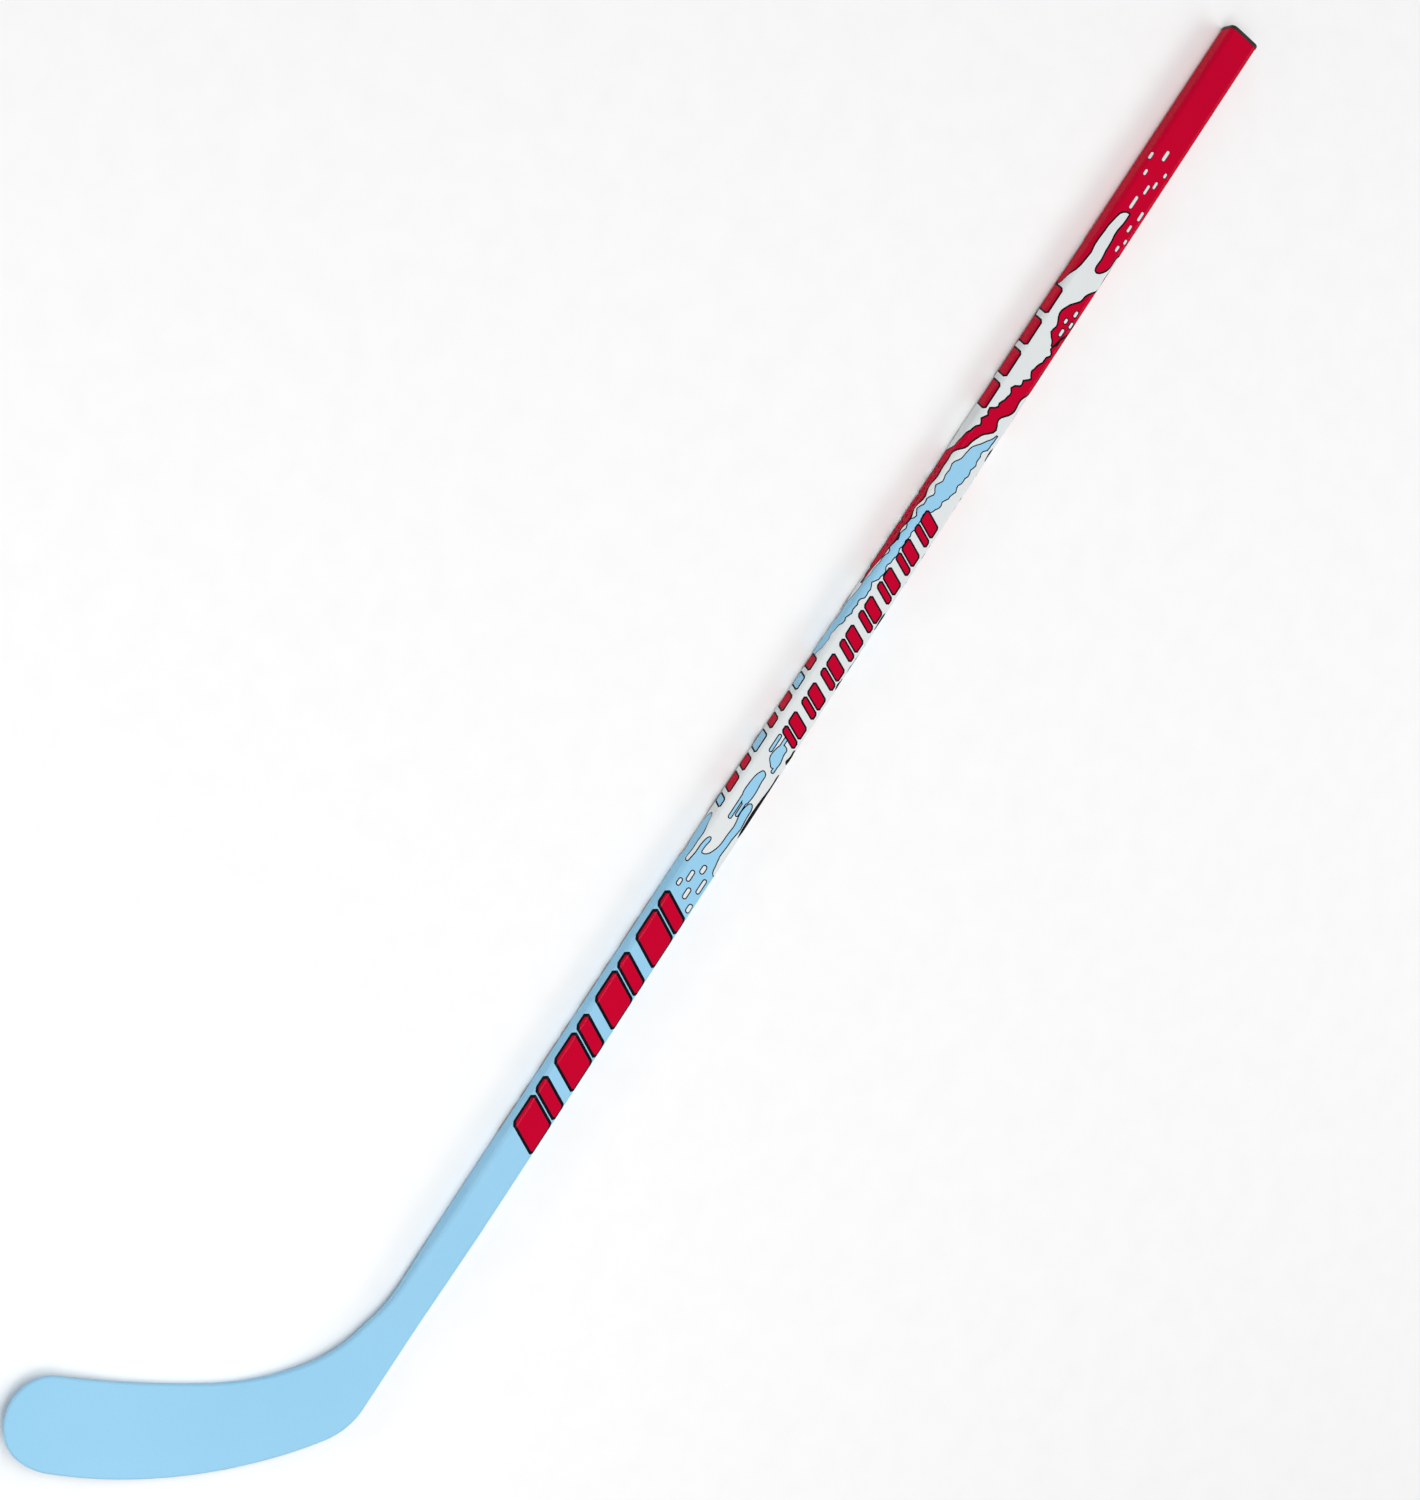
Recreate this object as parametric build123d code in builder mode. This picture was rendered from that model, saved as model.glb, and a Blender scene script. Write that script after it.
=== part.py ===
"""A youth ice hockey stick: a hollow composite shaft bonded to a foam-cored blade, with a plug in its butt end.

It is drawn in the shaft's frame: +X runs up the shaft from the heel, +Y is the side that the blade bends to, and +Z
comes out of the forehand face. At the end every piece is moved to the pose in which the stick lies on a floor: rolled
onto the back of its blade, with the origin under the middle of the whole stick.
"""

import math
import os

from build123d import *

# Shaft, in millimetres
LENGTH = 1219.0  # heel to butt end, 48 inches
SHAFT_WIDTH = 26.5
SHAFT_DEPTH = 18.5
SHAFT_CORNER = 4.2
SHAFT_WALL = 1.7

# Joint between shaft and blade
JOINT_X = 170.0  # the tube's lower end meets the neck's shoulder here
TENON_ROOT_X = 150.0
TENON_TOP_X = 235.0
TENON_WALL = 2.0
BOND_THICKNESS = 0.35
FOAM_PLUG_LENGTH = 30.0

# Neck: it widens and thins from the shaft's section to the blade's heel
NECK_X = 60.0  # the blade's own skins start here
NECK_WALL = 1.2  # wall at the blade end
THROAT_X = 100.0  # the neck's upper edge starts to rise here
THROAT_RISE = 6.6
NECK_STATIONS = 6

# Blade: "along" runs from the heel to the toe, "across" from the bottom edge to the top edge
BLADE_ANGLE = 129.0  # degrees from the shaft to the blade's length
HEEL_HALF = 4.2  # half of the blade's thickness at the heel
TOE_HALF = 2.6
BLADE_REACH = 247.0
HEEL_X = 11.9  # the shaft's straight lower side ends here
CURVE_START = 50.0  # the forehand curve starts this far along the blade
CURVE_RADIUS = 800.0
EDGE_ROUNDING = 1.8
SKIN = 1.0
EDGE_BAND = 3.0
CORE_RIB = 1.2
RIB_ACROSS = 21.0

# Butt-end plug
FLANGE_THICKNESS = 3.0
FLANGE_OVERHANG = 0.4
FLANGE_ROUNDING = 1.0
INSERT_LENGTH = 32.0
INSERT_GAP = 0.6
INSERT_WALL = 1.6
FIN_CLEARANCE = 0.08
FIN_THICKNESS = 1.2
FIN_STEP = 7.0
FIN_COUNT = 4

# The lying pose: the angle at which the back of the blade and the shaft's lower edge touch the floor together
LYING_ROLL = 5.1

HALF_WIDTH = SHAFT_WIDTH / 2
HALF_DEPTH = SHAFT_DEPTH / 2
BORE_WIDTH = SHAFT_WIDTH - 2 * SHAFT_WALL
BORE_DEPTH = SHAFT_DEPTH - 2 * SHAFT_WALL
BORE_CORNER = SHAFT_CORNER - SHAFT_WALL
TUBE_END = LENGTH - FLANGE_THICKNESS
INSERT_WIDTH = BORE_WIDTH - 2 * INSERT_GAP
INSERT_DEPTH = BORE_DEPTH - 2 * INSERT_GAP
TALL = 60.0  # more than half of the height of anything that is cut
SEAM_MARGIN = 0.01  # edges nearer than this to the neck's end are not rounded
UPRIGHT = 0.9  # an edge whose direction has more Z than this is a corner, not a rim

ALONG = Vector(math.cos(math.radians(BLADE_ANGLE)), math.sin(math.radians(BLADE_ANGLE)), 0)
ACROSS = ALONG.cross(Vector(0, 0, 1))
HEEL = Vector(0, -HALF_WIDTH, 0)
BLADE_SIDE = Plane(origin=HEEL, x_dir=ALONG, z_dir=ACROSS)
BLADE_FLAT = Plane(origin=HEEL, x_dir=ACROSS, z_dir=(0, 0, 1))


def on_blade(along, across):
    """A point of the blade's outline, in the shaft's frame."""
    return HEEL + ALONG * along + ACROSS * across


def curve_height(along):
    """How far the blade's middle surface has curved towards the forehand side."""
    past = max(0.0, along - CURVE_START)
    return CURVE_RADIUS - math.sqrt(CURVE_RADIUS**2 - past**2)


def shaft_piece(width, depth, corner, start, end):
    """A straight piece of rounded rectangular section along the shaft."""
    with BuildPart() as piece:
        with BuildSketch(Plane.YZ.offset(start)):
            RectangleRounded(width, depth, corner)
        extrude(amount=end - start)
    return piece.part


def throat_height(x):
    """The upper edge of the neck."""
    rise = max(0.0, (THROAT_X - x) / (THROAT_X - NECK_X))
    return HALF_WIDTH + THROAT_RISE * rise**2


def neck_form(inner):
    """The neck's outer form, or with inner set its hollow."""
    with BuildPart() as form:
        for step in range(NECK_STATIONS):
            share = step / (NECK_STATIONS - 1)
            x = NECK_X + (JOINT_X - NECK_X) * share
            swell = share * share * (3 - 2 * share)
            wall = (NECK_WALL + (SHAFT_WALL - NECK_WALL) * share) if inner else 0
            top = throat_height(x) - wall
            bottom = wall - HALF_WIDTH
            half_depth = HEEL_HALF + (HALF_DEPTH - HEEL_HALF) * swell - wall
            corner = EDGE_ROUNDING + (SHAFT_CORNER - EDGE_ROUNDING) * swell - wall
            with BuildSketch(Plane.YZ.offset(x)):
                with Locations(((top + bottom) / 2, 0)):
                    RectangleRounded(top - bottom, 2 * half_depth, corner)
        loft()
    return form.part


def blade_slab(skin):
    """Everything between the blade's two faces, each drawn in by skin."""
    arc_end = BLADE_REACH + EDGE_BAND
    back = -TALL
    heel = HEEL_HALF - skin
    toe = TOE_HALF - skin
    middle = (CURVE_START + arc_end) / 2
    halfway = (heel + toe) / 2
    with BuildPart() as slab:
        with BuildSketch(BLADE_SIDE):
            with BuildLine():
                Line((back, heel), (CURVE_START, heel))
                ThreePointArc(
                    (CURVE_START, heel),
                    (middle, curve_height(middle) + halfway),
                    (arc_end, curve_height(arc_end) + toe),
                )
                Line((arc_end, curve_height(arc_end) + toe), (arc_end, curve_height(arc_end) - toe))
                ThreePointArc(
                    (arc_end, curve_height(arc_end) - toe),
                    (middle, curve_height(middle) - halfway),
                    (CURVE_START, -heel),
                )
                Polyline((CURVE_START, -heel), (back, -heel), (back, heel))
            make_face()
        extrude(amount=BLADE_REACH, both=True)
    return slab.part


os.makedirs("parts", exist_ok=True)

# Blade outline, seen on the forehand face
with BuildSketch() as outline:
    with BuildLine():
        lower_side = Line((NECK_X, -HALF_WIDTH), (HEEL_X, -HALF_WIDTH))
        heel_arc = TangentArc(lower_side @ 1, on_blade(22.0, -9.0), tangent=lower_side % 1)
        rocker = TangentArc(heel_arc @ 1, on_blade(218.3, 8.0), tangent=heel_arc % 1)
        toe_low = TangentArc(rocker @ 1, on_blade(238.5, 22.8), tangent=rocker % 1)
        toe_tip = TangentArc(toe_low @ 1, on_blade(235.7, 66.9), tangent=toe_low % 1)
        toe_top = TangentArc(toe_tip @ 1, on_blade(205.8, 73.0), tangent=toe_tip % 1)
        waist = TangentArc(toe_top @ 1, on_blade(100.0, 45.4), tangent=toe_top % 1)
        throat_low = TangentArc(waist @ 1, on_blade(29.9, 47.3), tangent=waist % 1)
        throat_high = TangentArc(throat_low @ 1, (NECK_X, throat_height(NECK_X)), tangent=throat_low % 1)
        neck_end = Line(throat_high @ 1, lower_side @ 0)
    make_face()

with BuildSketch() as core_outline:
    add(outline.sketch)
    offset(amount=-EDGE_BAND)
    with Locations((NECK_X - EDGE_BAND, (throat_height(NECK_X) - HALF_WIDTH) / 2)):
        Rectangle(2 * EDGE_BAND, throat_height(NECK_X) + HALF_WIDTH - 2 * EDGE_BAND)

# The blade's whole outer form, and the cuts that divide it into its layers
with BuildPart() as blade_form:
    with BuildSketch(Plane.XY.offset(-TALL)):
        add(outline.sketch)
    extrude(amount=2 * TALL)
    add(blade_slab(0), mode=Mode.INTERSECT)
    blade_edges = blade_form.edges().filter_by(lambda edge: edge.center().X < NECK_X - SEAM_MARGIN)
    fillet(blade_edges.filter_by(lambda edge: abs(edge.tangent_at(0.5).Z) < UPRIGHT), EDGE_ROUNDING)

with BuildPart() as between_skins:
    add(blade_form.part)
    add(blade_slab(SKIN), mode=Mode.INTERSECT)

with BuildPart() as core_space:
    with BuildSketch(Plane.XY.offset(-TALL)):
        add(core_outline.sketch)
    extrude(amount=2 * TALL)
    add(between_skins.part, mode=Mode.INTERSECT)

with BuildPart() as both_skins:
    add(blade_form.part)
    add(blade_slab(SKIN), mode=Mode.SUBTRACT)
back_solid, front_solid = both_skins.solids().sort_by(Axis.Z)

with BuildPart() as blade_front_skin:
    add(front_solid)
blade_front_skin.part.label = "blade_front_skin"

with BuildPart() as blade_back_skin:
    add(back_solid)
blade_back_skin.part.label = "blade_back_skin"

with BuildPart() as blade_edge_band:
    add(between_skins.part)
    add(core_space.part, mode=Mode.SUBTRACT)
blade_edge_band.part.label = "blade_edge_band"

# A stiffening rib runs from the neck to the toe and divides the foam in two
with BuildPart() as blade_core_rib:
    with BuildSketch(BLADE_FLAT.offset(-TALL)):
        with Locations((RIB_ACROSS, 0)):
            Rectangle(CORE_RIB, 4 * BLADE_REACH)
    extrude(amount=2 * TALL)
    add(core_space.part, mode=Mode.INTERSECT)
blade_core_rib.part.label = "blade_core_rib"

with BuildPart() as foam:
    add(core_space.part)
    add(blade_core_rib.part, mode=Mode.SUBTRACT)
first_foam, second_foam = foam.solids().sort_by(lambda solid: (solid.center() - HEEL).dot(ACROSS))

with BuildPart() as blade_core_lower:
    add(first_foam)
blade_core_lower.part.label = "blade_core_lower"

with BuildPart() as blade_core_upper:
    add(second_foam)
blade_core_upper.part.label = "blade_core_upper"

# Neck: a laminate shell round the tenon's root and a foam core
with BuildPart() as neck_wrap:
    add(neck_form(inner=False))
    add(neck_form(inner=True), mode=Mode.SUBTRACT)
neck_wrap.part.label = "neck_wrap"

with BuildPart() as neck_core:
    add(neck_form(inner=True))
    split(bisect_by=Plane.YZ.offset(TENON_ROOT_X), keep=Keep.BOTTOM)
neck_core.part.label = "neck_core"

with BuildPart() as hosel_tenon:
    add(neck_form(inner=True))
    split(bisect_by=Plane.YZ.offset(TENON_ROOT_X), keep=Keep.TOP)
    with BuildSketch(Plane.YZ.offset(JOINT_X)):
        RectangleRounded(
            BORE_WIDTH - 2 * BOND_THICKNESS, BORE_DEPTH - 2 * BOND_THICKNESS, BORE_CORNER - BOND_THICKNESS
        )
    extrude(amount=TENON_TOP_X - JOINT_X)
    with BuildSketch(Plane.YZ.offset(JOINT_X)):
        Rectangle(BORE_WIDTH - 2 * TENON_WALL, BORE_DEPTH - 2 * TENON_WALL)
    extrude(amount=TENON_TOP_X - JOINT_X, mode=Mode.SUBTRACT)
hosel_tenon.part.label = "hosel_tenon"

with BuildPart() as tenon_adhesive:
    with BuildSketch(Plane.YZ.offset(JOINT_X)):
        RectangleRounded(BORE_WIDTH, BORE_DEPTH, BORE_CORNER)
        offset(amount=-BOND_THICKNESS, mode=Mode.SUBTRACT)
    extrude(amount=TENON_TOP_X - JOINT_X)
tenon_adhesive.part.label = "tenon_adhesive"

# Shaft tube, open at both ends, with a foam stop above the tenon
with BuildPart() as shaft_tube:
    with BuildSketch(Plane.YZ.offset(JOINT_X)):
        RectangleRounded(SHAFT_WIDTH, SHAFT_DEPTH, SHAFT_CORNER)
        RectangleRounded(BORE_WIDTH, BORE_DEPTH, BORE_CORNER, mode=Mode.SUBTRACT)
    extrude(amount=TUBE_END - JOINT_X)
shaft_tube.part.label = "shaft_tube"

with BuildPart() as shaft_foam_plug:
    with BuildSketch(Plane.YZ.offset(TENON_TOP_X)):
        RectangleRounded(BORE_WIDTH, BORE_DEPTH, BORE_CORNER)
    extrude(amount=FOAM_PLUG_LENGTH)
shaft_foam_plug.part.label = "shaft_foam_plug"

# Butt-end plug: a flange over the tube's end and a hollow insert with fins that grip the bore
with BuildPart() as end_plug:
    with BuildSketch(Plane.YZ.offset(TUBE_END)):
        RectangleRounded(
            SHAFT_WIDTH + 2 * FLANGE_OVERHANG,
            SHAFT_DEPTH + 2 * FLANGE_OVERHANG,
            SHAFT_CORNER + FLANGE_OVERHANG,
        )
    extrude(amount=FLANGE_THICKNESS)
    fillet(end_plug.faces().sort_by(Axis.X)[-1].edges(), FLANGE_ROUNDING)
    with BuildSketch(Plane.YZ.offset(TUBE_END - INSERT_LENGTH)):
        RectangleRounded(INSERT_WIDTH, INSERT_DEPTH, BORE_CORNER - INSERT_GAP)
    extrude(amount=INSERT_LENGTH)
    for number in range(FIN_COUNT):
        with BuildSketch(Plane.YZ.offset(TUBE_END - INSERT_LENGTH + FIN_STEP * (number + 0.5))):
            RectangleRounded(
                BORE_WIDTH - 2 * FIN_CLEARANCE, BORE_DEPTH - 2 * FIN_CLEARANCE, BORE_CORNER - FIN_CLEARANCE
            )
        extrude(amount=FIN_THICKNESS)
    with BuildSketch(Plane.YZ.offset(TUBE_END - INSERT_LENGTH)):
        Rectangle(INSERT_WIDTH - 2 * INSERT_WALL, INSERT_DEPTH - 2 * INSERT_WALL)
    extrude(amount=INSERT_LENGTH, mode=Mode.SUBTRACT)
end_plug.part.label = "end_plug"

# Lay the stick down and centre it over the origin
pieces = [
    shaft_tube,
    end_plug,
    hosel_tenon,
    tenon_adhesive,
    shaft_foam_plug,
    neck_wrap,
    neck_core,
    blade_front_skin,
    blade_back_skin,
    blade_edge_band,
    blade_core_rib,
    blade_core_lower,
    blade_core_upper,
]
roll = Location((0, 0, 0), (-LYING_ROLL, 0, 0))
rolled = Compound([roll * piece.part for piece in pieces]).bounding_box()
to_floor = Location((-rolled.center().X, -rolled.center().Y, -rolled.min.Z))
for piece in pieces:
    piece.part.move(to_floor * roll)
    export_step(piece.part, f"parts/{piece.part.label}.step")
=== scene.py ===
import math
import random

import bpy
from mathutils import Matrix, Vector
from mathutils.geometry import delaunay_2d_cdt


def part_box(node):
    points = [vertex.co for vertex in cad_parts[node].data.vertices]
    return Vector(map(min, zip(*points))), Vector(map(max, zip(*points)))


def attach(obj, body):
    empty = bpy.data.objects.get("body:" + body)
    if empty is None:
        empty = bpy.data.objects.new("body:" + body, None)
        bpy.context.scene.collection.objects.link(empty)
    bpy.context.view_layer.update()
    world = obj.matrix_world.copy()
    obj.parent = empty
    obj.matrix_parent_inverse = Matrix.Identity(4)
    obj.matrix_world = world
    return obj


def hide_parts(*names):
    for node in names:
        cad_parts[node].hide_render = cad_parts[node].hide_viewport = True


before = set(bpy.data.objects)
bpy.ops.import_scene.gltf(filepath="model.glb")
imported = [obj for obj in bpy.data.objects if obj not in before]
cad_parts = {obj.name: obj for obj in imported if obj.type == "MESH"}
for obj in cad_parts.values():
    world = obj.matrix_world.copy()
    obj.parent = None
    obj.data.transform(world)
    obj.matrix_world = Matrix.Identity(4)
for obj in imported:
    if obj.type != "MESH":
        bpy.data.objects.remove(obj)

# --------------------------------------------------------------------------------------------------
# The stick is described in the shaft's own frame, in millimetres: x runs up the shaft from the heel,
# y to the side that the blade bends to, and z out of the forehand face. to_row() takes it to the
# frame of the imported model, in metres.
# --------------------------------------------------------------------------------------------------
MM = 0.001
LYING_ROLL = math.radians(5.1)
JOINT_X = 170.0
PAINT = 0.1  # the paint stands this far out of the laminate
PAINT_FOOT = -0.03  # and starts this far inside it

tube_low, tube_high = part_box("shaft_tube")
TUBE_END = JOINT_X + (tube_high[0] - tube_low[0]) / MM
SHAFT_ORIGIN = Vector(
    (tube_low[0] - JOINT_X * MM, (tube_low[1] + tube_high[1]) / 2, (tube_low[2] + tube_high[2]) / 2)
)
ROLL = Matrix.Rotation(-LYING_ROLL, 3, "X")
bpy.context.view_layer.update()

HALF_WIDTH = 13.25
HALF_DEPTH = 9.25
SHAFT_CORNER = 4.2


def to_row(x, y, z):
    """A point of the shaft's frame, in millimetres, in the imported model's frame, in metres."""
    return SHAFT_ORIGIN + ROLL @ Vector((x * MM, y * MM, z * MM))


def turned(direction):
    """A direction of the shaft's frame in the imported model's frame."""
    return ROLL @ Vector(direction)


def make_piece(name, points, faces, normals, material):
    """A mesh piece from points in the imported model's frame, with a normal for each face's corners."""
    mesh = bpy.data.meshes.new(name)
    mesh.from_pydata([tuple(p) for p in points], [], faces)
    mesh.materials.append(material)
    mesh.polygons.foreach_set("use_smooth", [True] * len(mesh.polygons))
    mesh.update()
    mesh.normals_split_custom_set([tuple(n) for n in normals])
    piece = bpy.data.objects.new(name, mesh)
    bpy.context.scene.collection.objects.link(piece)
    return piece


# --------------------------------------------------------------------------------------------------
# Materials
# --------------------------------------------------------------------------------------------------
def linear(level):
    """A screen level from 0 to 255 as linear light."""
    return ((level / 255 + 0.055) / 1.055) ** 2.4 if level > 10 else level / 255 / 12.92


def srgb(red, green, blue):
    """A colour given as on a screen, from 0 to 255, as linear light."""
    return linear(red), linear(green), linear(blue)


class Nodes:
    """A new material's node tree, with a shorter way to add nodes and links."""

    def __init__(self, name):
        self.material = bpy.data.materials.new(name)
        self.material.use_nodes = True
        self.tree = self.material.node_tree
        self.shader = self.tree.nodes["Principled BSDF"]
        self.place = self.add("ShaderNodeTexCoord").outputs["Object"]

    def add(self, kind, **values):
        node = self.tree.nodes.new(kind)
        for key, value in values.items():
            setattr(node, key, value)
        return node

    def link(self, source, target):
        self.tree.links.new(source, target)

    def stretched(self, scale):
        """The object's coordinates, scaled differently along each axis."""
        mapping = self.add("ShaderNodeMapping")
        mapping.inputs["Scale"].default_value = scale
        self.link(self.place, mapping.inputs["Vector"])
        return mapping.outputs["Vector"]

    def noise(self, scale, detail=2.0, roughness=0.5, vector=None):
        node = self.add("ShaderNodeTexNoise")
        node.inputs["Scale"].default_value = scale
        node.inputs["Detail"].default_value = detail
        node.inputs["Roughness"].default_value = roughness
        self.link(vector or self.place, node.inputs["Vector"])
        return node.outputs["Fac"]

    def spread(self, value, low, high, start=0.3, end=0.7):
        """value between start and end becomes low to high."""
        node = self.add("ShaderNodeMapRange")
        node.inputs["From Min"].default_value = start
        node.inputs["From Max"].default_value = end
        node.inputs["To Min"].default_value = low
        node.inputs["To Max"].default_value = high
        self.link(value, node.inputs["Value"])
        return node.outputs["Result"]

    def mix(self, factor, first, second):
        """first and second are colours or outputs."""
        node = self.add("ShaderNodeMix", data_type="RGBA")
        self.link(factor, node.inputs[0])
        for socket, colour in ((node.inputs[6], first), (node.inputs[7], second)):
            if isinstance(colour, tuple):
                socket.default_value = (*colour, 1.0)
            else:
                self.link(colour, socket)
        return node.outputs[2]

    def bump(self, height, distance, strength=1.0, before=None):
        node = self.add("ShaderNodeBump")
        node.inputs["Distance"].default_value = distance
        node.inputs["Strength"].default_value = strength
        self.link(height, node.inputs["Height"])
        if before:
            self.link(before, node.inputs["Normal"])
        return node.outputs["Normal"]

    def set(self, **values):
        for key, value in values.items():
            self.shader.inputs[key.replace("_", " ")].default_value = value


def paint(name, colour, shade, roughness=0.3):
    """Sprayed paint under clear lacquer: drifts of shade, fine speckle, orange peel and rub marks."""
    nodes = Nodes(name)
    drift = nodes.spread(nodes.noise(14.0, 3.0), 0.0, 0.55)
    speckle = nodes.spread(nodes.noise(1400.0, 1.0), 0.0, 0.35)
    drifted = nodes.mix(drift, colour, shade)
    darker = tuple(c * 0.9 for c in colour)
    nodes.link(nodes.mix(speckle, drifted, darker), nodes.shader.inputs["Base Color"])
    rubs = nodes.noise(60.0, 4.0, 0.7, nodes.stretched((0.25, 3.0, 3.0)))
    nodes.link(nodes.spread(rubs, roughness - 0.05, roughness + 0.1), nodes.shader.inputs["Roughness"])
    peel = nodes.bump(nodes.noise(420.0, 1.0), 0.00006, 0.35)
    fine = nodes.bump(nodes.noise(2600.0, 1.0), 0.00001, 0.3, peel)
    nodes.link(fine, nodes.shader.inputs["Normal"])
    nodes.set(Specular_IOR_Level=0.005, Coat_Weight=0.1, Coat_Roughness=0.12, Coat_IOR=1.5)
    return nodes.material


def woven_laminate(name):
    """Bare carbon laminate: a fine twill of two near-black greys under resin."""
    nodes = Nodes(name)
    wave = nodes.add("ShaderNodeTexWave", wave_type="BANDS", bands_direction="DIAGONAL")
    wave.inputs["Scale"].default_value = 160.0
    wave.inputs["Distortion"].default_value = 1.5
    nodes.link(nodes.stretched((1.0, 1.6, 1.6)), wave.inputs["Vector"])
    weave = wave.outputs["Fac"]
    nodes.link(nodes.mix(weave, srgb(22, 22, 25), srgb(58, 59, 64)), nodes.shader.inputs["Base Color"])
    nodes.link(nodes.spread(weave, 0.3, 0.5), nodes.shader.inputs["Roughness"])
    nodes.link(nodes.bump(weave, 0.00005, 0.5), nodes.shader.inputs["Normal"])
    return nodes.material


def rubber(name):
    """Black moulded rubber: a pebbled matte face with patches of lighter dust."""
    nodes = Nodes(name)
    pebble = nodes.noise(900.0, 3.0, 0.6)
    dust = nodes.spread(nodes.noise(90.0, 4.0, 0.65), 0.0, 0.5)
    nodes.link(nodes.mix(dust, srgb(12, 12, 14), srgb(38, 38, 41)), nodes.shader.inputs["Base Color"])
    nodes.link(nodes.spread(pebble, 0.45, 0.7), nodes.shader.inputs["Roughness"])
    nodes.link(nodes.bump(pebble, 0.00012, 0.6), nodes.shader.inputs["Normal"])
    return nodes.material


def foam(name):
    """Pale closed-cell foam."""
    nodes = Nodes(name)
    cells = nodes.add("ShaderNodeTexVoronoi", feature="F1")
    cells.inputs["Scale"].default_value = 900.0
    nodes.link(nodes.place, cells.inputs["Vector"])
    size = nodes.spread(cells.outputs["Distance"], 0.0, 1.0, 0.1, 0.7)
    nodes.link(nodes.mix(size, srgb(214, 206, 178), srgb(240, 235, 214)), nodes.shader.inputs["Base Color"])
    nodes.link(nodes.bump(size, 0.0002, 0.7), nodes.shader.inputs["Normal"])
    nodes.set(Roughness=0.85)
    return nodes.material


def adhesive(name):
    """Amber hot-melt with soft clouds in it."""
    nodes = Nodes(name)
    clouds = nodes.spread(nodes.noise(120.0, 3.0), 0.0, 1.0)
    amber = nodes.mix(clouds, srgb(196, 156, 84), srgb(222, 190, 122))
    nodes.link(amber, nodes.shader.inputs["Base Color"])
    nodes.link(nodes.bump(clouds, 0.0002, 0.4), nodes.shader.inputs["Normal"])
    nodes.set(Roughness=0.35)
    return nodes.material


RED_PAINT = paint("red_paint", srgb(199, 2, 45), srgb(187, 0, 47))
BLUE_PAINT = paint("blue_paint", srgb(150, 204, 234), srgb(159, 210, 239), roughness=0.34)
WHITE_PAINT = paint("white_paint", srgb(226, 230, 231), srgb(218, 223, 225))
BLACK_PAINT = paint("black_paint", srgb(18, 14, 22), srgb(28, 22, 32))
LAMINATE = woven_laminate("laminate")
RUBBER = rubber("plug_rubber")
FOAM = foam("foam")
ADHESIVE = adhesive("adhesive")


def finish_node(node, material):
    """A CAD node keeps its shape and gets a better material."""
    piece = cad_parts[node]
    for holder in piece.material_slots:
        holder.material = material
    if not piece.material_slots:
        piece.data.materials.append(material)


for node in ("shaft_tube", "hosel_tenon", "blade_core_rib"):
    finish_node(node, LAMINATE)
for node in ("shaft_foam_plug", "neck_core", "blade_core_lower", "blade_core_upper"):
    finish_node(node, FOAM)
finish_node("tenon_adhesive", ADHESIVE)
finish_node("end_plug", RUBBER)

# --------------------------------------------------------------------------------------------------
# Neck and blade: one painted skin
# --------------------------------------------------------------------------------------------------
NECK_X = 60.0
THROAT_X = 100.0
THROAT_RISE = 6.6
HEEL_X = 11.9
BLADE_ANGLE = math.radians(129.0)
HEEL_HALF = 4.2
TOE_HALF = 2.6
BLADE_REACH = 247.0
CURVE_START = 50.0
CURVE_RADIUS = 800.0
BLADE_ROUNDING = 2.2
# Where the outline's arcs meet, as distances along and across the blade from the heel
BLADE_STOPS = (
    (22.0, -9.0),
    (218.3, 8.0),
    (238.5, 22.8),
    (235.7, 66.9),
    (205.8, 73.0),
    (100.0, 45.4),
    (29.9, 47.3),
)
OUTLINE_STEP = 2.0
FILL_STEP = 5.0
ROUND_STEPS = 6

ALONG = Vector((math.cos(BLADE_ANGLE), math.sin(BLADE_ANGLE)))
ACROSS = Vector((ALONG.y, -ALONG.x))
HEEL = Vector((0.0, -HALF_WIDTH))


def on_blade(along, across):
    """A point of the blade's outline."""
    return HEEL + ALONG * along + ACROSS * across


def smooth(share):
    """0 to 1 with no slope at either end."""
    share = min(1.0, max(0.0, share))
    return share * share * (3 - 2 * share)


def straight(start, end):
    """Points from start up to, not including, end."""
    count = max(1, round((end - start).length / OUTLINE_STEP))
    return [start.lerp(end, i / count) for i in range(count)]


def tangent_arc(start, heading, end):
    """Points along the arc that leaves start in heading and reaches end, and its heading there."""
    chord = end - start
    left = Vector((-heading.y, heading.x))
    radius = chord.length_squared / (2 * chord.dot(left))
    centre = start + left * radius
    turn = 2 * heading.angle_signed(chord)  # clockwise is positive in mathutils
    count = max(2, round(abs(radius * turn) / OUTLINE_STEP))
    spoke = start - centre
    points = [centre + Matrix.Rotation(-turn * i / count, 2) @ spoke for i in range(count)]
    return points, Matrix.Rotation(-turn, 2) @ heading


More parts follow.
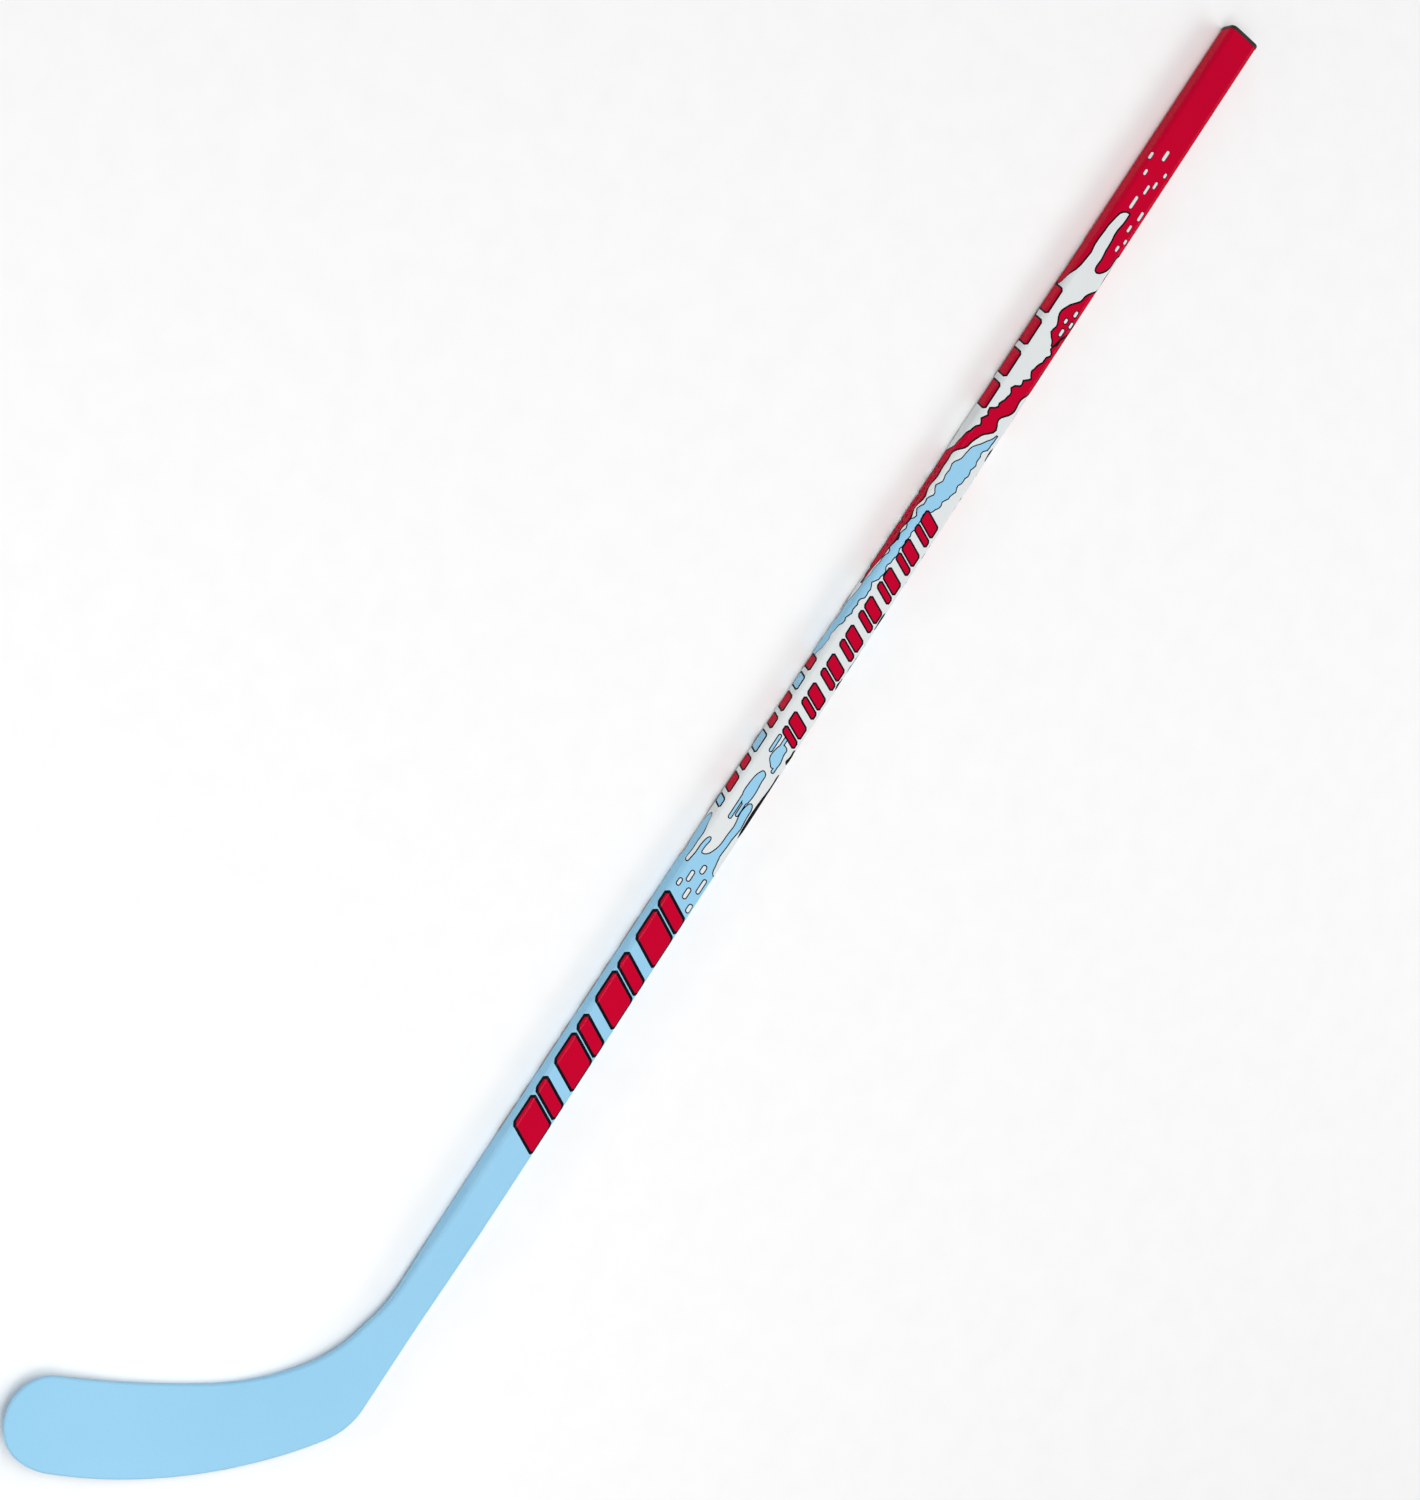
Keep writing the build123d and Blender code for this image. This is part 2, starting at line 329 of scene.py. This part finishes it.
def blade_outline():
    """The outline from the joint's lower corner round the heel and toe to the joint's upper corner."""
    corner = Vector((JOINT_X, -HALF_WIDTH))
    here = Vector((HEEL_X, -HALF_WIDTH))
    heading = Vector((-1.0, 0.0))
    points = straight(corner, here)
    throat = Vector((NECK_X, HALF_WIDTH + THROAT_RISE))
    for stop in [on_blade(*stop) for stop in BLADE_STOPS] + [throat]:
        arc, heading = tangent_arc(here, heading, stop)
        points += arc
        here = stop
    x = NECK_X
    while x < THROAT_X:
        rise = THROAT_RISE * ((THROAT_X - x) / (THROAT_X - NECK_X)) ** 2
        points.append(Vector((x, HALF_WIDTH + rise)))
        x += OUTLINE_STEP
    points += straight(Vector((THROAT_X, HALF_WIDTH)), Vector((JOINT_X, HALF_WIDTH)))
    points.append(Vector((JOINT_X, HALF_WIDTH)))
    return points


def half_thickness(point):
    """Half the painted thickness: the blade thins to the toe, the neck thickens to the shaft."""
    along = (point - HEEL).dot(ALONG)
    share = min(1, max(0, (along - CURVE_START) / (BLADE_REACH - CURVE_START)))
    blade = HEEL_HALF + (TOE_HALF - HEEL_HALF) * share
    neck = (HALF_DEPTH - HEEL_HALF) * smooth((point.x - NECK_X) / (JOINT_X - NECK_X))
    return blade + neck + PAINT


def middle(point):
    """Height of the blade's middle surface, which curves towards the forehand side."""
    past = max(0.0, (point - HEEL).dot(ALONG) - CURVE_START)
    return CURVE_RADIUS - math.sqrt(CURVE_RADIUS**2 - past**2)


def face_normal(point, side):
    """The normal of the forehand face (side 1) or the backhand face (side -1)."""
    step = 0.5

    def height(spot):
        return middle(spot) + side * half_thickness(spot)

    slope_x = (height(point + Vector((step, 0))) - height(point - Vector((step, 0)))) / (2 * step)
    slope_y = (height(point + Vector((0, step))) - height(point - Vector((0, step)))) / (2 * step)
    return (Vector((-slope_x, -slope_y, 1.0)) * side).normalized()


def is_inside(point, loop):
    """Whether the point is inside the closed loop, by counting the sides to its right."""
    inside = False
    for a, b in zip(loop, loop[1:] + loop[:1]):
        if (a.y > point.y) == (b.y > point.y):
            continue
        if point.x < (b.x - a.x) * (point.y - a.y) / (b.y - a.y) + a.x:
            inside = not inside
    return inside


def distance_to(point, loop):
    return min((point - p).length for p in loop)


def fill(loop):
    """Triangles over a closed loop of 2-D points, with inner points on an even triangular grid."""
    edge_gap = FILL_STEP * 0.6
    row_height = FILL_STEP * 0.866
    low = Vector((min(p.x for p in loop), min(p.y for p in loop)))
    high = Vector((max(p.x for p in loop), max(p.y for p in loop)))
    inner = []
    row = 0
    y = low.y
    while y < high.y:
        x = low.x + (FILL_STEP / 2 if row % 2 else 0)
        while x < high.x:
            point = Vector((x, y))
            if is_inside(point, loop) and distance_to(point, loop) > edge_gap:
                inner.append(point)
            x += FILL_STEP
        y += row_height
        row += 1
    points = list(loop) + inner
    found = delaunay_2d_cdt(points, [], [list(range(len(loop)))], 1, 1e-6)
    return found[0], found[2]


def outward_normals(outline):
    """The normals out of the outline. At both ends, in the joint, it runs along the shaft."""
    headings = [after - before for before, after in zip(outline, outline[2:])]
    headings = [Vector((-1.0, 0.0)), *headings, Vector((1.0, 0.0))]
    return [Vector((-heading.y, heading.x)).normalized() for heading in headings]


def build_blade():
    """Rings of points round the rounded edge, then the two faces and the end in the joint."""
    outline = blade_outline()
    outward = outward_normals(outline)
    last = len(outline) - 1
    points, normals, faces = [], [], []
    rings = []
    levels = [(1, step) for step in range(ROUND_STEPS, -1, -1)]
    levels += [(-1, step) for step in range(ROUND_STEPS + 1)]
    for side, step in levels:
        angle = math.pi / 2 * step / ROUND_STEPS
        ring = []
        for point, out in zip(outline, outward):
            half = half_thickness(point)
            swell = smooth((point.x - NECK_X) / (JOINT_X - NECK_X))
            rounding = BLADE_ROUNDING + (SHAFT_CORNER - BLADE_ROUNDING) * swell + PAINT
            spot = point + out * (PAINT - rounding * (1 - math.cos(angle)))
            height = middle(point) + side * (half - rounding * (1 - math.sin(angle)))
            top = face_normal(point, side)
            level = Vector((out.x, out.y, 0.0))
            ring.append(len(points))
            points.append((spot.x, spot.y, height))
            normals.append((level * math.cos(angle) + top * math.sin(angle)).normalized())
        rings.append(ring)
    for upper, lower in zip(rings, rings[1:]):
        for i in range(last):
            faces.append((upper[i], upper[i + 1], lower[i + 1], lower[i]))
    corner_normals = [normals[i] for face in faces for i in face]

    for side, ring in ((1, rings[0]), (-1, rings[-1])):
        loop = [Vector(points[i][:2]) for i in ring]
        flat, triangles = fill(loop)
        names = []
        for i, point in enumerate(flat):
            if i < len(loop):
                names.append(ring[i])
                continue
            names.append(len(points))
            points.append((point.x, point.y, middle(point) + side * half_thickness(point)))
            normals.append(face_normal(point, side))
        for triangle in triangles:
            a, b, c = (flat[i] for i in triangle)
            clockwise = (b - a).cross(c - a) < 0
            order = triangle if clockwise == (side < 0) else tuple(reversed(triangle))
            face = tuple(names[i] for i in order)
            faces.append(face)
            corner_normals += [normals[i] for i in face]

    end = [ring[0] for ring in rings] + [ring[-1] for ring in reversed(rings)]
    faces.append(tuple(end))
    corner_normals += [Vector((1, 0, 0))] * len(end)
    piece = make_piece(
        "blade_and_neck",
        [to_row(*p) for p in points],
        faces,
        [turned(n) for n in corner_normals],
        BLUE_PAINT,
    )
    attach(piece, "stick")
    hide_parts("neck_wrap", "blade_front_skin", "blade_back_skin", "blade_edge_band")


build_blade()

# --------------------------------------------------------------------------------------------------
# Shaft paint: flat shapes on the unrolled shaft, cut into a map of colours and wrapped round the tube.
# s is the distance round the shaft from the middle of the forehand face, towards the upper side.
# --------------------------------------------------------------------------------------------------
FLAT_WIDTH = HALF_WIDTH - SHAFT_CORNER  # half of the front face's flat
FLAT_DEPTH = HALF_DEPTH - SHAFT_CORNER
CORNER_ARC = SHAFT_CORNER * math.pi / 2
HALF_TURN = 2 * (FLAT_WIDTH + FLAT_DEPTH) + 2 * CORNER_ARC
CORNER_STEPS = 8
SEGMENTS = 4
RED, BLUE, WHITE, BLACK = "red", "blue", "white", "black"


def wrapped(s, proud):
    """The section's point at s, this far proud of the laminate, and its normal there."""
    s = s % (2 * HALF_TURN)
    past_half = s >= HALF_TURN
    if past_half:
        s -= HALF_TURN
    edges = [
        (FLAT_WIDTH, None),
        (CORNER_ARC, (FLAT_WIDTH, FLAT_DEPTH, 0.0)),
        (2 * FLAT_DEPTH, None),
        (CORNER_ARC, (FLAT_WIDTH, -FLAT_DEPTH, math.pi / 2)),
        (FLAT_WIDTH, None),
    ]
    flats = [
        (Vector((0, HALF_DEPTH)), Vector((1, 0)), Vector((0, 1))),
        None,
        (Vector((HALF_WIDTH, FLAT_DEPTH)), Vector((0, -1)), Vector((1, 0))),
        None,
        (Vector((FLAT_WIDTH, -HALF_DEPTH)), Vector((-1, 0)), Vector((0, -1))),
    ]
    for (length, corner), flat in zip(edges, flats):
        if s <= length or flat is flats[-1]:
            break
        s -= length
    if flat:
        start, heading, normal = flat
        spot = start + heading * s
    else:
        y, z, first = corner
        angle = first + s / SHAFT_CORNER
        normal = Vector((math.sin(angle), math.cos(angle)))
        spot = Vector((y, z)) + normal * SHAFT_CORNER
    spot = spot + normal * proud
    return (-spot, -normal) if past_half else (spot, normal)


def signed_area(points):
    return sum(a.cross(b) for a, b in zip(points, points[1:] + points[:1])) / 2


def counter_clockwise(points):
    return points if signed_area(points) > 0 else points[::-1]


def grown(points, amount):
    """The closed counter-clockwise outline moved outward by amount."""
    result = []
    for before, here, after in zip(points[-1:] + points[:-1], points, points[1:] + points[:1]):
        first = (here - before).normalized()
        second = (after - here).normalized()
        out = Vector((first.y + second.y, -first.x - second.x))
        out = out.normalized() if out.length > 1e-6 else Vector((first.y, -first.x))
        spread = max(0.5, out.dot(Vector((first.y, -first.x))))
        result.append(here + out * (amount / spread))
    return result


def slanted(x, s, length, height, slant, cut=0.0):
    """A leaning bar, with cut taken off its corners."""
    low, high = s - height / 2, s + height / 2
    points = [
        Vector((x, low)),
        Vector((x + length, low)),
        Vector((x + length + slant, high)),
        Vector((x + slant, high)),
    ]
    return points if not cut else [q for i in range(4) for q in corner_cut(points, i, cut)]


def corner_cut(points, i, cut):
    """The two points that take a corner's place, each moved by cut along one of its sides."""
    here = points[i]
    before = (points[i - 1] - here).normalized()
    after = (points[(i + 1) % len(points)] - here).normalized()
    return [here + before * cut, here + after * cut]


def capsule(x, s, length, width):
    """A rounded dash along the shaft."""
    steps = 6
    radius = width / 2
    reach = length / 2 - radius
    points = []
    for end in (1, -1):
        for i in range(steps + 1):
            angle = -math.pi / 2 + math.pi * i / steps
            along = end * (reach + radius * math.cos(angle))
            points.append(Vector((x + along, s + end * radius * math.sin(angle))))
    return points


def blob(x, s, length, width, seed, swing=0.22, lean=0.0):
    """A long puddle with uneven shores."""
    chance = random.Random(seed)
    first, second = (chance.uniform(0, 2 * math.pi) for _ in range(2))
    count = max(28, round(length * 1.2))
    points = []
    for i in range(count):
        angle = 2 * math.pi * i / count
        waves = swing * math.sin(3 * angle + first) + swing / 2 * math.sin(5 * angle + second)
        swell = 1 + waves
        across = width / 2 * math.sin(angle) * swell
        along = length / 2 * math.copysign(abs(math.cos(angle)) ** 0.8, math.cos(angle))
        points.append(Vector((x + along, s + across + lean * along)))
    return points


def ribbon(stations, seed, wobble):
    """A band that follows stations of (x, s, half width), with rippled edges and pointed ends."""
    step = 2.5
    chance = random.Random(seed)
    waves = [(chance.uniform(8, 24), chance.uniform(0, 2 * math.pi)) for _ in range(6)]
    rows = []
    x = stations[0][0]
    while x <= stations[-1][0]:
        i = max(j for j in range(len(stations) - 1) if stations[j][0] <= x)
        (x0, s0, w0), (x1, s1, w1) = stations[i], stations[i + 1]
        share = smooth((x - x0) / (x1 - x0))
        rows.append((x, s0 + (s1 - s0) * share, w0 + (w1 - w0) * share))
        x += step

    def ripple(x, width, group):
        sway = sum(math.sin(2 * math.pi * x / size + p) for size, p in waves[group : group + 3])
        return wobble / 2 * sway * min(1, width / 3)

    upper = [Vector((x, s + w + ripple(x, w, 0))) for x, s, w in rows]
    lower = [Vector((x, s - w + ripple(x, w, 3))) for x, s, w in rows]
    return lower + upper[::-1]


def quarter(share):
    """Height of a quarter circle that starts upright, at share of its run."""
    share = min(1.0, max(0.0, share))
    return math.sqrt(1 - (1 - share) ** 2)


def shore(valley, tip, neck):
    """Points from the bottom of a bay at valley to a tongue's tip, not including the tip.
    The tongue loses neck of its width in the bay and the rest at its tip."""
    steps = 18
    run = abs(tip.x - valley.x)
    rise = abs(tip.y - valley.y)
    bay = min(0.45, 1.4 * neck * rise / run)
    point = min(0.5, 2.6 * (1 - neck) * rise / run)
    points = []
    for i in range(steps):
        share = (1 - math.cos(math.pi * i / steps)) / 2
        across = neck * quarter(share / bay) + (1 - neck) * (1 - quarter((1 - share) / point))
        x = valley.x + (tip.x - valley.x) * share
        points.append(Vector((x, valley.y + (tip.y - valley.y) * across)))
    return points


def splash_front(back_x, tongues, phase):
    """A coat that starts at back_x, covers the whole way round and ends in uneven tongues.
    tongues are (bay s, bay x, tip s, tip x, neck) over one half turn, in order.
    Each tongue runs to the next one's bay."""
    laid = [
        (Vector((bay_x, bay_s + HALF_TURN * k)), Vector((tip_x, tip_s + HALF_TURN * k)), neck)
        for k in range(-3, 4)
        for bay_s, bay_x, tip_s, tip_x, neck in tongues
    ]
    path = []
    for (bay, tip, neck), (next_bay, _, _) in zip(laid, laid[1:]):
        path += shore(bay, tip, neck) + [tip] + shore(next_bay, tip, neck)[:0:-1]
    wave = 2 * math.pi / HALF_TURN

    def ripple(point):
        slow = 0.8 * math.sin(point.x / 7 + phase + wave * point.y)
        return Vector((0, slow + 0.3 * math.sin(point.x / 2.6)))

    path = [p + ripple(p) for p in path]
    return path + [Vector((back_x, path[-1].y)), Vector((back_x, path[0].y))]


shapes = []  # (colour, outline) from the lowest coat to the highest


def coat(colour, *outlines, line=0.0):
    """Adds outlines as one joined shape with a black line round it, repeated every half turn."""
    outlines = [counter_clockwise(points) for points in outlines]
    for k in range(-3, 4):
        shift = Vector((0, k * HALF_TURN))
        moved = [[p + shift for p in points] for points in outlines]
        reach = [p.y for points in moved for p in points]
        if min(reach) > HALF_TURN or max(reach) < -HALF_TURN:
            continue
        if line:
            shapes.extend((BLACK, grown(points, line)) for points in moved)
        shapes.extend((colour, points) for points in moved)


def coat_round(colour, points, line):
    """Adds a shape that already goes the whole way round."""
    points = counter_clockwise(points)
    shapes.append((BLACK, grown(points, line)))
    shapes.append((colour, points))


# Widths of the black lines round the shapes
HAIR = 0.4
THIN = 0.9
FINE = 1.45
BOLD = 2.3

# Blue from the neck up, ending in a splash
coat_round(
    BLUE,
    splash_front(
        100.0,
        [
            (-11.5, 463, -6.2, 522, 0.72),
            (5.6, 472, 8.4, 485, 0.5),
            (11.6, 461, 20.0, 501, 0.4),
        ],
        phase=3.0,
    ),
    THIN,
)
# White droplets on the blue
for x, s, length, width in (
    (434, -9.4, 6, 2.8),
    (442, -1.2, 8, 2.6),
    (454, 3.8, 8, 2.4),
    (452, -8.0, 11, 2.2),
    (463, -2.0, 6, 2.8),
    (446, 8.6, 5, 2.2),
):
    coat(WHITE, capsule(x, s, length, width), line=THIN)
# Blue puddles on the white
coat(
    BLUE,
    blob(533, 0.6, 28, 7.6, seed=11),
    capsule(515, 3.4, 20, 1.8),
    capsule(517, -0.4, 16, 1.6),
    line=THIN,
)
coat(
    BLUE,
    blob(562, -2.4, 18, 8.4, seed=12, lean=0.06),
    capsule(572, -0.2, 16, 1.8),
    capsule(555, -5.4, 10, 1.6),
    line=THIN,
)
coat(BLUE, capsule(569, 5.2, 14, 1.8), line=THIN)
# Black streaks at the lower corner
for x, s, length, width in (
    (524, -11.4, 56, 3.6),
    (567, -11.4, 13, 3.4),
    (632, -11.7, 10, 2),
    (688, -11.8, 15, 2.4),
    (838, -11.6, 12, 1.8),
):
    coat(BLACK, blob(x, s, length, width, seed=x, swing=0.35))
# Blue band across the narrow side, then down across the face
coat(
    BLUE,
    ribbon(
        [
            (630, 25, 0.2),
            (650, 23, 5.4),
            (685, 18, 6.4),
            (705, 14.5, 4.8),
            (727, 10.6, 3.2),
            (768, 8.8, 2.8),
            (792, 3, 5.8),
            (815, 1.2, 7),
            (832, -1.4, 4.6),
            (853, -8.6, 0.2),
        ],
        seed=21,
        wobble=1.3,
    ),
    line=THIN,
)
# Red band along the upper narrow side, then down across the face
coat(
    RED,
    ribbon(
        [
            (706, 23, 0.2),
            (722, 22.4, 2.6),
            (735, 20.4, 5.4),
            (820, 20.4, 5.4),
            (834, 12, 3.2),
            (846, 5.4, 3.8),
            (858, 2.6, 5.4),
            (872, -1, 4.6),
            (886, -4.6, 5),
            (905, -8.6, 3.4),
            (930, -11, 2.4),
            (962, -15, 0.3),
        ],
        seed=22,
        wobble=1.9,
    ),
    line=FINE,
)
# Red puddle at the lower corner with white droplets in it
coat(
    RED,
    ribbon(
        [
            (934, -6, 0.2),
            (944, -5.2, 4.2),
            (954, -4.6, 7.4),
            (965, -7.4, 7),
            (977, -11.6, 5),
            (992, -15, 0.3),
        ],
        seed=23,
        wobble=1.4,
    ),
    line=FINE,
)
for x, s, length, width in (
    (946, -6.4, 6, 2.2),
    (955, -4.2, 4, 2.2),
    (955, -9.6, 5, 2.0),
    (964, -8.0, 5, 2.2),
):
    coat(WHITE, capsule(x, s, length, width), line=THIN)
# Red from the butt end down, ending in a splash
coat_round(
    RED,
    splash_front(
        1300.0,
        [
            (-12.6, 1022, -3.6, 1000, 0.35),
            (0.8, 1052, 24.5, 978, 0.4),
        ],
        phase=5.0,
    ),
    FINE,
)
for x, s, length, width in (
    (1024, -6.8, 5, 2.0),
    (1032, -9.4, 4, 1.9),
    (1042, -6.2, 6, 2.0),
    (1055, -8.4, 8, 2.2),
    (1060, 2.6, 11, 2.4),
    (1074, -0.6, 8, 2.0),
    (1081, -4.6, 6, 2.0),
    (1084, 8.0, 5, 2.2),
    (1092, -7.0, 4, 2.0),
    (1097, 11.6, 6, 2.2),
    (1104, 1.4, 9, 2.6),
):
    coat(WHITE, capsule(x, s, length, width), line=HAIR)
# Four pairs of bold leaning bars on the blue
for x in (226, 279, 332, 385):
    coat(RED, slanted(x, 0.4, 23, height=23.4, slant=11, cut=1.6), line=BOLD)
    coat(RED, slanted(x + 29, 0.4, 10, height=23.4, slant=11, cut=1.6), line=BOLD)
# A row of lighter pairs on the white
for number in range(8):
    bar = 574.0 + 25.6 * number
    coat(RED, slanted(bar, -1.8, 4.2, height=13.8, slant=5.5, cut=0.9), line=FINE)
    coat(RED, slanted(bar + 8.2, -1.8, 8.4, height=13.8, slant=5.5, cut=0.9), line=FINE)
# Small bars along the narrow side
SIDE_ROW = 20.4  # their s, near the middle of that side
bar = 508.0
for number, length in enumerate((6, 12, 9, 14, 8, 12, 10, 9)):
    colour = RED if number % 3 else BLUE
    coat(colour, slanted(bar, SIDE_ROW, length, height=11.0, slant=3.6, cut=0.8), line=FINE)
    bar += length + 7.0
# Small dashes along the red band on the narrow side
for number in range(15):
    length = 1.6 + 0.8 * (number % 3)
    coat(BLACK, slanted(738.0 + 5.0 * number, SIDE_ROW, length, height=2.0, slant=0.7))
# Four wide bars over the upper corner
for x in (864, 893, 922, 951):
    coat(RED, slanted(x, 19.6, 21, height=14.6, slant=5.0, cut=1.2), line=FINE)


def colour_map():
    """Cuts the unrolled shaft along every outline, and sorts its triangles by colour and segment.
    The highest coat over a triangle gives its colour."""
    points, edges, outlines = [], [], []
    for _, outline in shapes:
        outlines.append(list(range(len(points), len(points) + len(outline))))
        points += outline
    bends = []
    for k in range(-2, 2):
        for start in (FLAT_WIDTH, FLAT_WIDTH + CORNER_ARC + 2 * FLAT_DEPTH):
            first = start + k * HALF_TURN
            bends += [first + CORNER_ARC * i / CORNER_STEPS for i in range(CORNER_STEPS + 1)]
    bends = [-HALF_TURN, *sorted(b for b in bends if -HALF_TURN < b < HALF_TURN), HALF_TURN]
    length = TUBE_END - JOINT_X
    cross_count = SEGMENTS * 6
    cross_lines = [JOINT_X + length * i / cross_count for i in range(cross_count + 1)]
    for s in bends:
        edges.append((len(points), len(points) + 1))
        points += [Vector((JOINT_X, s)), Vector((TUBE_END, s))]
    for x in cross_lines:
        edges.append((len(points), len(points) + 1))
        points += [Vector((x, -HALF_TURN)), Vector((x, HALF_TURN))]
    flat, _, triangles, _, _, sources = delaunay_2d_cdt(points, edges, outlines, 0, 1e-5)
    cells = {}
    for triangle, source in zip(triangles, sources):
        centre = sum((flat[i] for i in triangle), Vector((0, 0))) / len(triangle)
        if not (JOINT_X < centre.x < TUBE_END and abs(centre.y) < HALF_TURN):
            continue
        colour = shapes[max(source)][0] if source else WHITE
        segment = min(SEGMENTS - 1, int((centre.x - JOINT_X) / length * SEGMENTS))
        cells.setdefault((colour, segment), []).append(triangle)
    return flat, cells


def film(name, flat, triangles, material, slot):
    """A thin closed film of paint over the given triangles of the unrolled shaft."""
    used = sorted({i for triangle in triangles for i in triangle})
    index = {old: new for new, old in enumerate(used)}
    points, normals = [], []
    for proud in (PAINT, PAINT_FOOT):
        for i in used:
            spot, normal = wrapped(flat[i].y, proud)
            points.append(to_row(flat[i].x, spot.x, spot.y))
            normals.append(turned((0.0, normal.x, normal.y)))
    below = len(used)
    faces, corner_normals = [], []
    borders = {}
    for triangle in triangles:
        a, b, c = (flat[i] for i in triangle)
        order = triangle if (b - a).cross(c - a) > 0 else tuple(reversed(triangle))
        face = tuple(index[i] for i in order)
        faces.append(face)
        corner_normals += [normals[i] for i in face]
        faces.append(tuple(i + below for i in reversed(face)))
        corner_normals += [-normals[i] for i in reversed(face)]
        for i, j in zip(face, face[1:] + face[:1]):
            if (j, i) in borders:
                del borders[j, i]
            else:
                borders[i, j] = True
    for i, j in borders:
        wall = (i, i + below, j + below, j)
        side = (points[j] - points[i]).cross(normals[i])
        side = side.normalized() if side.length > 0 else normals[i]
        faces.append(wall)
        corner_normals += [side] * 4
    piece = make_piece(name, points, faces, corner_normals, material)
    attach(piece, "stick")


flat, cells = colour_map()
COATS = {
    RED: (RED_PAINT, "shaft_paint"),
    BLUE: (BLUE_PAINT, "blade_paint"),
    WHITE: (WHITE_PAINT, "shaft_paint"),
    BLACK: (BLACK_PAINT, "shaft_paint"),
}
for (colour, segment), triangles in sorted(cells.items()):
    film(f"shaft_{colour}_{segment + 1}", flat, triangles, *COATS[colour])


# --------------------------------------------------------------------------------------------------
# Floor, light and camera
# --------------------------------------------------------------------------------------------------
CAMERA_PLACE = (237.0, 859.6, 2067.5)  # in the shaft's frame, like the target
CAMERA_TARGET = (537.7, 41.2, 0.0)
CAMERA_ROLL = math.radians(104.672)
CAMERA_LENS = 74.36
CAMERA_SENSOR = 36.0
FLOOR_HALF = 6.0
WORLD_STRENGTH = 0.35


def build_floor():
    """A plain pale floor with a faint grain."""
    nodes = Nodes("floor")
    grain = nodes.spread(nodes.noise(40.0, 3.0), 0.0, 1.0)
    pale = nodes.mix(grain, (0.93, 0.93, 0.93), (0.95, 0.95, 0.95))
    nodes.link(pale, nodes.shader.inputs["Base Color"])
    nodes.set(Roughness=0.9)
    mesh = bpy.data.meshes.new("floor")
    corners = [(x * FLOOR_HALF, y * FLOOR_HALF, 0) for x, y in ((-1, -1), (1, -1), (1, 1), (-1, 1))]
    mesh.from_pydata(corners, [], [(0, 1, 2, 3)])
    mesh.materials.append(nodes.material)
    floor = bpy.data.objects.new("floor", mesh)
    bpy.context.scene.collection.objects.link(floor)


def area_light(name, place, target, size, power):
    """A rectangular light at place that faces target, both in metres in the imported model's frame."""
    data = bpy.data.lights.new(name, "AREA")
    data.shape = "RECTANGLE"
    data.size, data.size_y = size
    data.energy = power
    light = bpy.data.objects.new(name, data)
    light.location = place
    light.rotation_euler = (Vector(target) - Vector(place)).to_track_quat("-Z", "Y").to_euler()
    bpy.context.scene.collection.objects.link(light)


def build_light():
    """A big soft light overhead, a lower one past the butt end, and two small ones near the blade."""
    world = bpy.data.worlds.new("studio")
    world.use_nodes = True
    background = world.node_tree.nodes["Background"]
    background.inputs["Color"].default_value = (1, 1, 1, 1)
    background.inputs["Strength"].default_value = WORLD_STRENGTH
    bpy.context.scene.world = world
    area_light("key", (-0.25, 0.3, 2.6), (-0.1, 0.0, 0.0), (2.8, 1.1), 42)
    area_light("low", (1.2, -1.9, 1.4), (0.0, 0.0, 0.0), (2.2, 0.9), 19)
    area_light("kicker", (-0.8, 1.25, 0.6), (-0.5, 0.05, 0.0), (0.6, 0.3), 2.2)
    area_light("toe_fill", (-0.95, -0.05, 0.7), (-0.66, 0.0, 0.0), (0.5, 0.3), 0.8)


def build_camera():
    """It looks steeply down at the forehand face, with the blade at the lower left."""
    position = to_row(*CAMERA_PLACE)
    target = to_row(*CAMERA_TARGET)
    back = (position - target).normalized()
    up = turned((0.0, 0.0, 1.0))
    right = up.cross(back).normalized()
    above = back.cross(right)
    across = right * math.cos(CAMERA_ROLL) + above * math.sin(CAMERA_ROLL)
    upward = above * math.cos(CAMERA_ROLL) - right * math.sin(CAMERA_ROLL)
    data = bpy.data.cameras.new("camera")
    data.sensor_width = CAMERA_SENSOR
    data.lens = CAMERA_LENS
    camera = bpy.data.objects.new("camera", data)
    facing = Matrix((across, upward, back)).transposed().to_4x4()
    camera.matrix_world = Matrix.Translation(position) @ facing
    bpy.context.scene.collection.objects.link(camera)
    bpy.context.scene.camera = camera


build_floor()
build_light()
build_camera()
bpy.context.scene.view_settings.view_transform = "Standard"

bpy.context.view_layer.update()
